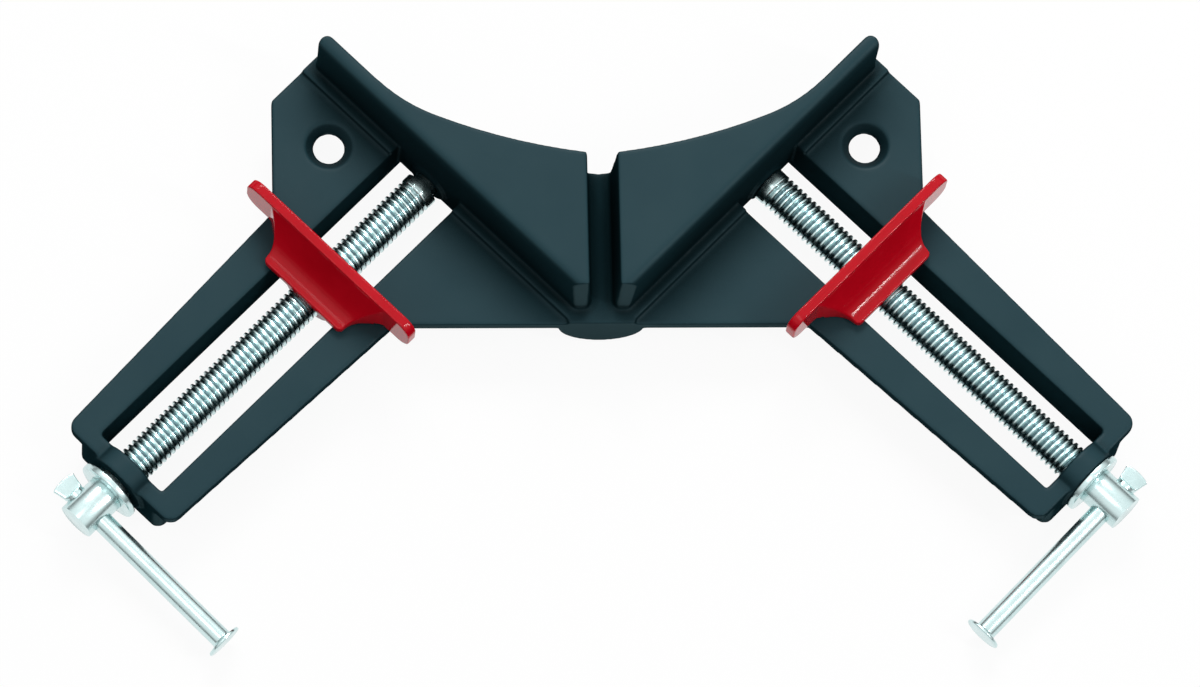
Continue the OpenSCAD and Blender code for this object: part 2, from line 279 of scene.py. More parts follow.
@dataclass(frozen=True, kw_only=True)
class Finish(ABC):
    """What every finish of the clamp has: a base colour, gloss that varies, and a fine relief.

    Attributes:
        slot: The record's slot that the finish stands for.
        base: Main colour, linear.
        tone: Colour of the faint clouds in it.
        cloud_mm: Size of those clouds.
        cloud_edge: Noise at which a cloud starts, and at which it is full.
        cloud_detail: Octaves of finer noise in the clouds.
        gloss: Lowest and highest roughness.
        gloss_share: Size of the patches of gloss, as a share of the clouds' size.
        gloss_edge: Noise at which the roughness is lowest, and at which it is highest.
        gloss_detail: Octaves of finer noise in the gloss.
        relief_mm: Size of the surface relief.
        relief_height_mm: Its height.
    """

    slot: Slot
    base: Colour
    tone: Colour
    cloud_mm: float
    cloud_edge: Span = (0.35, 0.65)
    cloud_detail: float = 3.0
    gloss: Span
    gloss_share: float = 0.6
    gloss_edge: Span = (0.3, 0.7)
    gloss_detail: float = 4.0
    relief_mm: float
    relief_height_mm: float

    def material(self) -> bpy.types.Material:
        """Builds the node material.

        Returns:
            The new material, named after the slot.
        """
        material = bpy.data.materials.new(self.slot.value)
        material.use_nodes = True
        sheet = NodeSheet(material.node_tree)
        shader = sheet.tree.nodes["Principled BSDF"]
        cloud = sheet.spread(sheet.noise(self.cloud_mm, self.cloud_detail), self.cloud_edge)
        self.coat(sheet, shader, sheet.blend(cloud, self.base, self.tone))
        patch = sheet.noise(self.cloud_mm * self.gloss_share, self.gloss_detail)
        sheet.link(sheet.spread(patch, self.gloss_edge, self.gloss), shader.inputs["Roughness"])
        bump = sheet.add("ShaderNodeBump")
        bump.inputs["Strength"].default_value = 1.0
        bump.inputs["Distance"].default_value = self.relief_height_mm * MM
        sheet.link(sheet.noise(self.relief_mm), bump.inputs["Height"])
        sheet.link(bump.outputs["Normal"], shader.inputs["Normal"])
        return material

    @abstractmethod
    def coat(self, sheet: NodeSheet, shader: bpy.types.Node, colour: Socket) -> None:
        """Lays the colour, with its marks and painted light and shade, on the shader and sets how it
        reflects.

        Args:
            sheet: The material's nodes.
            shader: The Principled shader.
            colour: The clean colour.
        """


@dataclass(frozen=True, kw_only=True)
class Enamel(Finish):
    """Enamel on a casting: thin on the edges, with painted highlights there and painted shade in
    recesses.

    Attributes:
        edge: Colour where the enamel is thin, also a painted highlight on edges and painted light
            ahead.
        convex: Pointiness at which an edge starts to lighten, and at which it lightens most.
        wear_and_highlight: How far an edge lightens at most, as thin enamel and as a painted
            highlight.
        wear_mm: Size of the patches in that lightening.
        wear_detail: Octaves of finer noise in those patches.
        recess_shade: Colour of the painted shade in the recesses.
        reach_mm: How near other walls must stand to make a recess.
        enclosed: Room below which a place is all recess, and above which it is open.
        corner_shade: How dark the painted shade gets right in a corner.
        crease_mm: How near a wall must stand to make a corner.
        cornered: Room at which a corner is darkest, and at which it ends.
        lift: How much a recess's level floor keeps of the open colour against the painted shade.
        floor: How level a face must be to count as such a floor, and as a full one.
        slant: How much of it a wall or slanting face, such as a countersink, keeps against painted
            shade.
        lying: How level a face must be to keep more than that, and to keep all.
        painted_ahead_light: How far faces that look straight ahead lighten to the edge colour, as
            painted light.
        ahead: How squarely a face must look ahead to get that painted light at all, and to get all
            of it.
        sheen: How strongly open faces mirror.
        flat: How level a face must be to mirror at all, and to mirror fully.
        steep: How level a face may be to mirror fully as an upright one, and at all, or None
            where upright faces stay dull.
        steep_fade: Power of the openness by which an upright face's mirror fades.
    """

    edge: Colour
    convex: Span = (0.53, 0.62)
    wear_and_highlight: float = 0.35
    wear_mm: float = 6.0
    wear_detail: float = 3.0
    recess_shade: Colour
    reach_mm: float = 20.0
    enclosed: Span = (0.50, 0.96)
    corner_shade: float = 0.9
    crease_mm: float = 2.5
    cornered: Span = (0.78, 0.99)
    lift: float = 0.35
    floor: Span = (0.8, 0.98)
    slant: float = 0.3
    lying: Span = (0.6, 0.93)
    painted_ahead_light: float = 0.0
    ahead: Span = (0.72, 1.0)
    sheen: float = 0.13
    flat: Span = (0.5, 0.93)
    steep: Span | None = None
    steep_fade: float = 3.0

    def coat(self, sheet: NodeSheet, shader: bpy.types.Node, colour: Socket) -> None:
        """Lays the enamel with its wear and painted light and shade, mirroring only where it lies
        open.

        Args:
            sheet: The material's nodes.
            shader: The Principled shader.
            colour: The clean colour.
        """
        # Painted shade: where the piece's own shape closes in, the enamel darkens and mirrors less.
        openness = sheet.spread(sheet.room(self.reach_mm), self.enclosed, smooth=True)
        level = sheet.facing("Z")
        marks_and_painted_light = self.marks_and_painted_light(sheet, colour, openness, level)
        sheet.link(marks_and_painted_light, shader.inputs["Base Color"])
        sheet.link(self.mirror(sheet, openness, level), shader.inputs["Specular IOR Level"])

    def marks_and_painted_light(self, sheet: NodeSheet, colour: Socket, openness: Socket, level: Socket) -> Socket:
        """Lightens edges as wear and painted highlight, and paints shade into recesses and light
        ahead.

        Args:
            sheet: The material's nodes.
            colour: The clean colour.
            openness: 0 in a recess and 1 in the open.
            level: 0 for an upright face and 1 for a level one.

        Returns:
            The colour with its wear and its painted light and shade.
        """
        # Wear and painted highlight: convex edges lighten towards the edge colour.
        pointed = sheet.add("ShaderNodeNewGeometry").outputs["Pointiness"]
        thin_and_lit = sheet.spread(pointed, self.convex, (0.0, self.wear_and_highlight))
        worn_and_highlit = sheet.math("MULTIPLY", thin_and_lit, sheet.noise(self.wear_mm, self.wear_detail))
        # Painted shade in corners, in recesses away from their level floors, and on walls and
        # slopes.
        darkest = 1.0 - self.corner_shade
        near = sheet.room(self.crease_mm)
        corner = sheet.spread(near, self.cornered, (darkest, 1.0), smooth=True)
        floor = sheet.spread(level, self.floor, (0.0, self.lift), smooth=True)
        lying = sheet.spread(level, self.lying, (self.slant, 1.0), smooth=True)
        clear = sheet.math("MULTIPLY", sheet.math("MAXIMUM", openness, floor), corner)
        kept = sheet.math("MULTIPLY", clear, lying)
        enamel = sheet.blend(kept, self.recess_shade, sheet.blend(worn_and_highlit, colour, self.edge))
        # Painted light: faces that look straight ahead, either way, lighten towards the edge colour.
        ahead = sheet.spread(sheet.facing("Y"), self.ahead, (0.0, self.painted_ahead_light), smooth=True)
        return sheet.blend(sheet.math("MULTIPLY", ahead, corner), enamel, self.edge)

    def mirror(self, sheet: NodeSheet, openness: Socket, level: Socket) -> Socket:
        """Keeps reflections low, fades them in recesses as painted shade, and on mould-rough slopes.

        Args:
            sheet: The material's nodes.
            openness: 0 in a recess and 1 in the open.
            level: 0 for an upright face and 1 for a level one.

        Returns:
            How strongly the enamel mirrors.
        """
        smooth = sheet.spread(level, self.flat, smooth=True)
        if self.steep is not None:
            fade = sheet.math("POWER", openness, self.steep_fade)
            upright = sheet.math("MULTIPLY", sheet.spread(level, self.steep, (1.0, 0.0)), fade)
            smooth = sheet.math("MAXIMUM", smooth, upright)
        # Painted shade on the reflections: they fade where the piece's own shape closes in.
        return sheet.math("MULTIPLY", sheet.math("MULTIPLY", smooth, self.sheen), openness)


@dataclass(frozen=True, kw_only=True)
class BrightZinc(Finish):
    """Blue-white zinc plate on drawn steel: bright, faintly clouded, with painted shade in the
    grooves.

    Attributes:
        stain: Colour of the dull clouds.
        stain_most: How much of it shows at most.
        stain_mm: Size of those clouds.
        stain_edge: Noise at which a dull cloud starts, and at which it is full.
        stain_detail: Octaves of finer noise in them.
        groove_shade: Colour of the painted shade down in the grooves.
        groove_shade_span: Share of a groove's depth at which the painted shade starts, and covers
            all.
    """

    stain: Colour
    stain_most: float = 0.25
    stain_mm: float = 3.0
    stain_edge: Span = (0.55, 0.75)
    stain_detail: float = 4.0
    groove_shade: Colour
    groove_shade_span: Span = (0.55, 0.95)

    def coat(self, sheet: NodeSheet, shader: bpy.types.Node, colour: Socket) -> None:
        """Makes it metal, dulls it a little in small clouds and paints shade into the grooves.

        Args:
            sheet: The material's nodes.
            shader: The Principled shader.
            colour: The clean colour.
        """
        patch = sheet.noise(self.stain_mm, self.stain_detail)
        cloud = sheet.spread(patch, self.stain_edge, (0.0, self.stain_most))
        dulled = sheet.blend(cloud, colour, self.stain)
        # Painted shade: the deeper a point lies in the thread's groove, the darker it is.
        groove = sheet.add("ShaderNodeAttribute", attribute_name=GROOVE).outputs["Fac"]
        marks_and_painted_light = sheet.blend(sheet.spread(groove, self.groove_shade_span), dulled, self.groove_shade)
        sheet.link(marks_and_painted_light, shader.inputs["Base Color"])
        shader.inputs["Metallic"].default_value = 1.0


CAST = Enamel(
    slot=Slot.CAST,
    base=(0.012, 0.041, 0.052),
    tone=(0.015, 0.046, 0.057),
    cloud_mm=22.0,
    gloss=(0.42, 0.52),
    relief_mm=1.1,
    relief_height_mm=0.012,
    # Wear and painted highlight on edges, painted shade in recesses, painted light on faces ahead.
    edge=(0.04, 0.075, 0.085),
    recess_shade=(0.004, 0.013, 0.016),
    painted_ahead_light=0.85,
)
JAW = Enamel(
    slot=Slot.JAW,
    base=(0.53, 0.003, 0.012),
    tone=(0.48, 0.002, 0.010),
    cloud_mm=9.0,
    gloss=(0.09, 0.15),
    relief_mm=1.6,
    relief_height_mm=0.006,
    # Wear and painted highlight on edges, painted shade in recesses and corners.
    edge=(0.60, 0.02, 0.03),
    recess_shade=(0.30, 0.001, 0.003),
    reach_mm=12.0,
    enclosed=(0.45, 0.90),
    corner_shade=0.3,
    lift=0.0,
    slant=1.0,
    sheen=0.19,
    flat=(0.55, 0.93),
    steep=(0.12, 0.35),
)
ZINC = BrightZinc(
    slot=Slot.ZINC,
    base=(0.67, 0.83, 0.83),
    tone=(0.61, 0.78, 0.78),
    cloud_mm=5.0,
    gloss=(0.20, 0.30),
    relief_mm=0.9,
    relief_height_mm=0.0006,
    stain=(0.46, 0.57, 0.58),
    # Painted shade in the thread's grooves.
    groove_shade=(0.13, 0.22, 0.245),
)


@dataclass
class Paintbox:
    """Makes each finish once and puts it on pieces.

    Attributes:
        made: Materials made so far, by slot.
    """

    made: dict[Slot, bpy.types.Material] = field(default_factory=dict)

    def material(self, finish: Finish) -> bpy.types.Material:
        """Gives a finish's material.

        Args:
            finish: The finish.

        Returns:
            Its material, made on the first call.
        """
        if finish.slot not in self.made:
            self.made[finish.slot] = finish.material()
        return self.made[finish.slot]

    def dress(self, piece: bpy.types.Object, finish: Finish, body: str, *nodes: str) -> None:
        """Paints a piece, puts it on its body and hides the CAD nodes that it stands for.

        Args:
            piece: The new piece.
            finish: Its finish.
            body: The body that carries it.
            *nodes: The nodes that it stands for.
        """
        piece.data.materials.clear()
        piece.data.materials.append(self.material(finish))
        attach(piece, body)
        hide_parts(*nodes)
        log.info("%s: %d faces on %s", piece.name, len(piece.data.polygons), body)


def linked(name: str, mesh: bpy.types.Mesh) -> bpy.types.Object:
    """Puts a mesh into the scene.

    Args:
        name: Name of the new object.
        mesh: Its mesh.

    Returns:
        The object, at the origin.
    """
    mesh.name = name
    piece = bpy.data.objects.new(name, mesh)
    bpy.context.scene.collection.objects.link(piece)
    return piece


def as_piece(name: str, shape: bmesh.types.BMesh) -> bpy.types.Object:
    """Turns a finished shape into a piece of the scene and frees it.

    Args:
        name: Name of the new piece.
        shape: The shape.

    Returns:
        The new piece.
    """
    mesh = bpy.data.meshes.new(name)
    shape.to_mesh(mesh)
    shape.free()
    return linked(name, mesh)


def welded_copy(node: bpy.types.Object, name: str) -> bpy.types.Object:
    """Copies a CAD node's mesh into a new piece and joins its split corners.

    Args:
        node: The CAD node.
        name: Name of the new piece.

    Returns:
        The new piece.
    """
    shape = bmesh.new()
    for vertex in node.data.vertices:
        shape.verts.new(vertex.co)
    shape.verts.ensure_lookup_table()
    for polygon in node.data.polygons:
        points = [shape.verts[i] for i in polygon.vertices]
        if shape.faces.get(points) is None:
            shape.faces.new(points)
    bmesh.ops.remove_doubles(shape, verts=shape.verts, dist=WELD_MM * MM)
    bmesh.ops.dissolve_degenerate(shape, edges=shape.edges, dist=SLIVER_MM * MM)
    bmesh.ops.recalc_face_normals(shape, faces=shape.faces)
    return as_piece(name, shape)


def bake_modifiers(piece: bpy.types.Object) -> None:
    """Turns a piece's modifiers into plain mesh.

    Args:
        piece: The piece.
    """
    graph = bpy.context.evaluated_depsgraph_get()
    mesh = bpy.data.meshes.new_from_object(piece.evaluated_get(graph), depsgraph=graph)
    raw = piece.data
    piece.modifiers.clear()
    piece.data = mesh
    bpy.data.meshes.remove(raw)
    mesh.name = piece.name


def smooth_shade(piece: bpy.types.Object, sharp_deg: float | None = None) -> None:
    """Shades a piece smooth.

    Args:
        piece: The piece.
        sharp_deg: Angle above which an edge is kept sharp, or None to smooth every edge.
    """
    piece.data.polygons.foreach_set("use_smooth", [True] * len(piece.data.polygons))
    if sharp_deg is not None:
        piece.data.set_sharp_from_angle(angle=math.radians(sharp_deg))
    piece.data.update()


@dataclass(frozen=True)
class ArmFrame:
    """Place of one arm.

    Attributes:
        side: Which arm.
        origin: Point on the screw's axis at the fence face.
        out: Direction of the screw's axis, away from the fence.
        bar_axis: Direction of the tommy bar, from its nail head to its tail.
    """

    side: ArmSide
    origin: Vector
    out: Vector
    bar_axis: Vector

    @classmethod
    def from_joints(cls, side: ArmSide, joints: list[dict]) -> ArmFrame:
        """Reads an arm's place from the record's joints.

        Args:
            side: Which arm.
            joints: The record's joints.

        Returns:
            The arm's frame.
        """
        named = {joint["name"]: joint for joint in joints}
        turn = named[f"{side.value}_screw_turn"]
        slide = named[f"{side.value}_bar_slide"]
        return cls(
            side=side,
            origin=Vector(turn["pos_m"]),
            out=Vector(turn["axis"]).normalized(),
            bar_axis=Vector(slide["axis"]).normalized(),
        )

    @property
    def matrix(self) -> Matrix:
        """The arm's own frame.

        Returns:
            X out along the screw, Z up, and the origin on the screw's axis at the fence.
        """
        turn = Matrix((self.out, UP.cross(self.out), UP)).transposed()
        return Matrix.Translation(self.origin) @ turn.to_4x4()

    def node(self, part: str) -> str:
        """Name of this arm's node or body.

        Args:
            part: The name without its side.

        Returns:
            The full name.
        """
        return f"{self.side.value}_{part}"

    def along(self, node: bpy.types.Object) -> Span:
        """Measures how far a node reaches along the screw.

        Args:
            node: The CAD node.

        Returns:
            Lowest and highest distance from the arm's origin.
        """
        places = [(vertex.co - self.origin).dot(self.out) for vertex in node.data.vertices]
        return min(places), max(places)


@dataclass(frozen=True)
class CastSkin:
    """Rounds a sharp CAD casting over, inside corners and edges alike, as mould and enamel do.

    Attributes:
        voxel_mm: Size of the cells that the shape is rebuilt from.
        passes: Smoothing passes: more make rounder edges.
        triangles: Most triangles left.
        pull: How far each pass moves a point to the middle of its neighbours.
    """

    voxel_mm: float
    passes: int
    triangles: int
    pull: float = 0.5

    def shape(self, node: bpy.types.Object, name: str) -> bpy.types.Object:
        """Makes the rounded copy of a node.

        Args:
            node: The CAD node.
            name: Name of the new piece.

        Returns:
            The new piece.
        """
        piece = welded_copy(node, name)
        remesh = piece.modifiers.new("cells", "REMESH")
        remesh.mode = "VOXEL"
        remesh.voxel_size = self.voxel_mm * MM
        remesh.use_smooth_shade = True
        smooth = piece.modifiers.new("round", "SMOOTH")
        smooth.factor = self.pull
        smooth.iterations = self.passes
        bake_modifiers(piece)
        # The cells leave four-sided faces, which are two triangles each.
        made = 2 * len(piece.data.polygons)
        thin = piece.modifiers.new("thin", "DECIMATE")
        thin.ratio = min(1.0, self.triangles / made)
        bake_modifiers(piece)
        smooth_shade(piece)
        return piece


@dataclass(frozen=True)
class Stamping:
    """Breaks the edges of a small turned or stamped part.

    Attributes:
        edge_mm: Width of the broken edge.
        segments: Steps round it.
        flat_deg: Angle up to which neighbouring faces become one.
        edge_deg: Angle above which an edge is broken.
        sharp_deg: Angle above which an edge is shaded sharp.
    """

    edge_mm: float
    segments: int = 3
    flat_deg: float = 1.0
    edge_deg: float = 40.0
    sharp_deg: float = 38.0

    def shape(self, node: bpy.types.Object, name: str) -> bpy.types.Object:
        """Makes the copy with broken edges.

        Args:
            node: The CAD node.
            name: Name of the new piece.

        Returns:
            The new piece.
        """
        piece = welded_copy(node, name)
        self.apply(piece)
        return piece

    def apply(self, piece: bpy.types.Object) -> None:
        """Breaks the edges of a piece.

        Args:
            piece: The piece.
        """
        flat = bmesh.new()
        flat.from_mesh(piece.data)
        limit = math.radians(self.flat_deg)
        bmesh.ops.dissolve_limit(flat, angle_limit=limit, verts=flat.verts, edges=flat.edges)
        flat.to_mesh(piece.data)
        flat.free()
        bevel = piece.modifiers.new("edge", "BEVEL")
        bevel.width = self.edge_mm * MM
        bevel.segments = self.segments
        bevel.limit_method = "ANGLE"
        bevel.angle_limit = math.radians(self.edge_deg)
        bake_modifiers(piece)
        smooth_shade(piece, self.sharp_deg)


@dataclass(frozen=True)
class RolledThread:
    """Rolled screw thread, swept by a geometry node tree.

    Attributes:
        pitch_mm: Distance from turn to turn.
        depth_mm: From crest to root.
        flank: Where a flank starts and ends, as shares of the way from root to crest.
        run_out_mm: Length over which the thread fades at each end.
        tuck_mm: How far its faded ends sink into the shank.
        weld_mm: Distance at which points of neighbouring turns become one.
        hand: Which way it winds.
        steps: Points round each turn.
        profile: Points across each turn.
    """

    pitch_mm: float = 1.5
    depth_mm: float = 0.78
    flank: Span = (0.14, 0.80)
    run_out_mm: float = 1.6
    tuck_mm: float = 0.02
    weld_mm: float = 0.004
    hand: ThreadHand = ThreadHand.LEFT
    steps: int = 40
    profile: int = 9

    def tree(self) -> bpy.types.NodeTree:
        """Builds the node tree: a grid, bent into a helix of the thread's profile.

        Returns:
            The geometry node tree.
        """
        tree = bpy.data.node_groups.new("rolled_thread", "GeometryNodeTree")
        inputs = {
            "NodeSocketInt": ("Turns", "Steps", "Profile"),
            "NodeSocketFloat": ("Pitch", "Crest", "Depth", "Run Out", "Hand"),
            "NodeSocketMaterial": ("Material",),
        }
        tree.interface.new_socket("Geometry", in_out="OUTPUT", socket_type="NodeSocketGeometry")
        for kind, names in inputs.items():
            for name in names:
                tree.interface.new_socket(name, in_out="INPUT", socket_type=kind)
        sheet = NodeSheet(tree)
        given = sheet.add("NodeGroupInput").outputs
        grid = sheet.add("GeometryNodeMeshGrid")
        rows = sheet.math("ADD", sheet.math("MULTIPLY", given["Turns"], given["Steps"]), 1.0)
        sheet.link(rows, grid.inputs["Vertices X"])
        sheet.link(given["Profile"], grid.inputs["Vertices Y"])
        spot, groove = self.wind(sheet, given)
        keep = sheet.add("GeometryNodeStoreNamedAttribute", data_type="FLOAT", domain="POINT")
        keep.inputs["Name"].default_value = GROOVE
        sheet.link(groove, keep.inputs["Value"])
        bend = sheet.add("GeometryNodeSetPosition")
        sheet.link(spot, bend.inputs["Position"])
        close = sheet.add("GeometryNodeMergeByDistance")
        close.inputs["Distance"].default_value = self.weld_mm * MM
        real = sheet.add("GeometryNodeRealizeInstances")
        paint = sheet.add("GeometryNodeSetMaterial")
        sheet.link(given["Material"], paint.inputs["Material"])
        # The first output of each of these nodes is its mesh.
        chain = (grid, keep, bend, close, real, paint, sheet.add("NodeGroupOutput"))
        for before, after in zip(chain, chain[1:]):
            sheet.link(before.outputs[0], after.inputs["Geometry"])
        return tree

    def wind(
        self, sheet: NodeSheet, given: bpy.types.bpy_prop_collection
    ) -> tuple[Socket, Socket]:
        """Works out where a point of the grid lies on the thread.

        The grid is 1 by 1 about its middle: X runs along the helix and Y across one turn.

        Args:
            sheet: The tree's nodes.
            given: The tree's inputs.

        Returns:
            The point's place, and its depth in the groove from 0 to 1.
        """
        position = sheet.add("GeometryNodeInputPosition").outputs["Position"]
        along = sheet.part(position, "X")
        across = sheet.part(position, "Y")
        wound = sheet.math("ADD", sheet.math("MULTIPLY", along, given["Hand"]), 0.5)
        turn = sheet.math("MULTIPLY", wound, given["Turns"])
        phase = sheet.math("ADD", across, 0.5)
        place = sheet.math("MULTIPLY", sheet.math("ADD", turn, phase), given["Pitch"])
        length = sheet.math("MULTIPLY", sheet.math("ADD", given["Turns"], 1.0), given["Pitch"])
        to_end = sheet.math("MINIMUM", place, sheet.math("SUBTRACT", length, place))
        past = sheet.math("SUBTRACT", to_end, given["Pitch"])
        run_out = sheet.math("DIVIDE", past, given["Run Out"])
        fade = sheet.spread(run_out, (0.0, 1.0), smooth=True)
        off_crest = sheet.math("ABSOLUTE", sheet.math("MULTIPLY", across, 2.0))
        ridge = sheet.math("SUBTRACT", 1.0, off_crest)
        tooth = sheet.spread(ridge, self.flank, smooth=True)
        groove = sheet.math("MULTIPLY", sheet.math("SUBTRACT", 1.0, tooth), fade)
        tuck = sheet.spread(fade, (0.0, 1.0), (self.tuck_mm * MM, 0.0))
        crest = sheet.math("SUBTRACT", given["Crest"], tuck)
        radius = sheet.math("SUBTRACT", crest, sheet.math("MULTIPLY", groove, given["Depth"]))
        angle = sheet.math("MULTIPLY", sheet.math("MULTIPLY", turn, given["Hand"]), 2.0 * math.pi)
        spot = sheet.add("ShaderNodeCombineXYZ")
        sheet.link(place, spot.inputs["X"])
        for axis, wave in (("Y", "COSINE"), ("Z", "SINE")):
            reach = sheet.math("MULTIPLY", radius, sheet.math(wave, angle))
            sheet.link(reach, spot.inputs[axis])
        return spot.outputs["Vector"], groove

    def sweep(
        self, name: str, crest: float, length: float, material: bpy.types.Material
    ) -> bpy.types.Object:
        """Makes a thread along X, from 0 to about a length.

        Args:
            name: Name of the new piece.
            crest: Radius at the crest, in metres.
            length: Length to fill, in metres.
            material: Its material.

        Returns:
            The new piece.
        """
        piece = linked(name, bpy.data.meshes.new(name))
        modifier = piece.modifiers.new("thread", "NODES")
        modifier.node_group = self.tree()
        values = {
            "Turns": round(length / (self.pitch_mm * MM)) - 1,
            "Steps": self.steps,
            "Profile": self.profile,
            "Pitch": self.pitch_mm * MM,
            "Crest": crest,
            "Depth": self.depth_mm * MM,
            "Run Out": self.run_out_mm * MM,
            "Hand": self.hand.value,
            "Material": material,
        }
        for item in modifier.node_group.interface.items_tree:
            if item.in_out == "INPUT":
                modifier[item.identifier] = values[item.name]
        piece.update_tag()
        bake_modifiers(piece)
        smooth_shade(piece)
        return piece


@dataclass(frozen=True)
class ClampScrew:
    """Clamping screw: rolled thread between a turned journal and a cross-drilled head.

    Attributes:
        thread: The thread.
        plain_mm: Plain length left beside the fence.
        seat_mm: Plain length left in the end boss.
        clear_mm: How far under the head the shank is measured.
        full_share: Share of the crest's radius above which the shank has its full size.
        edges: How the turned ends are broken.
        sharp_deg: Angle above which an edge is shaded sharp.
    """

    thread: RolledThread = RolledThread()
    plain_mm: float = 0.3
    seat_mm: float = 3.5
    clear_mm: float = 1.0
    full_share: float = 0.97
    edges: Stamping = Stamping(0.35)
    sharp_deg: float = 50.0

    def shape(
        self, arm: ArmFrame, nodes: dict[str, bpy.types.Object], material: bpy.types.Material
    ) -> bpy.types.Object:
        """Makes one screw.

        Args:
            arm: The arm that carries it.
            nodes: The CAD nodes.
            material: Its material.

        Returns:
            The new piece.
        """
        node = nodes[arm.node("screw")]
        to_arm = arm.matrix.inverted()
        head = arm.along(nodes[arm.node("head_washer")])[1]
        places = [to_arm @ vertex.co for vertex in node.data.vertices]
        shank = [place for place in places if place.x < head - self.clear_mm * MM]
        crest = max(math.hypot(place.y, place.z) for place in shank)
        full = self.full_share * crest
        shoulder = min(place.x for place in shank if math.hypot(place.y, place.z) > full)
        start = shoulder + self.plain_mm * MM
        turns = int((head - self.seat_mm * MM - start) / (self.thread.pitch_mm * MM))
        stop = start + turns * self.thread.pitch_mm * MM
        piece = welded_copy(node, arm.node("threaded_screw"))
        piece.data.transform(to_arm)
        self.edges.apply(piece)
        sweep = self.thread.sweep(arm.node("thread"), crest, stop - start, material)
        sweep.data.transform(Matrix.Translation((start, 0.0, 0.0)))
        self.join(piece, sweep, start, stop)
        piece.data.transform(arm.matrix)
        return piece

    def join(
        self, piece: bpy.types.Object, sweep: bpy.types.Object, start: float, stop: float
    ) -> None:
        """Cuts the plain shank out of a turned screw and puts the thread in its place.

        The thread's first and last turn, where it has faded, lie just inside a stub of the shank.

        Args:
            piece: The turned screw, in the arm's frame.
            sweep: The thread, in the same frame.
            start: Where the thread starts.
            stop: Where it stops.
        """
        depth = [0.0] * len(sweep.data.vertices)
        sweep.data.attributes[GROOVE].data.foreach_get("value", depth)
        shape = bmesh.new()
        shape.from_mesh(piece.data)
        first = start + self.thread.pitch_mm * MM
        last = stop - self.thread.pitch_mm * MM
        for cut, side in ((first, 1.0), (last, -1.0)):
            bmesh.ops.bisect_plane(
                shape,
                geom=shape.verts[:] + shape.edges[:] + shape.faces[:],
                plane_co=(cut, 0.0, 0.0),
                plane_no=(side, 0.0, 0.0),
            )
        inside = [face for face in shape.faces if first < face.calc_center_median().x < last]
        bmesh.ops.delete(shape, geom=inside, context="FACES")
        rims = [edge for edge in shape.edges if edge.is_boundary]
        bmesh.ops.holes_fill(shape, edges=rims, sides=0)
        plain = [0.0] * len(shape.verts)
        shape.from_mesh(sweep.data)
        shape.to_mesh(piece.data)
        shape.free()
        marks = piece.data.attributes
        kept = marks.get(GROOVE) or marks.new(GROOVE, "FLOAT", "POINT")
        kept.data.foreach_set("value", plain + depth)
        mesh = sweep.data
        bpy.data.objects.remove(sweep)
        bpy.data.meshes.remove(mesh)
        smooth_shade(piece, self.sharp_deg)


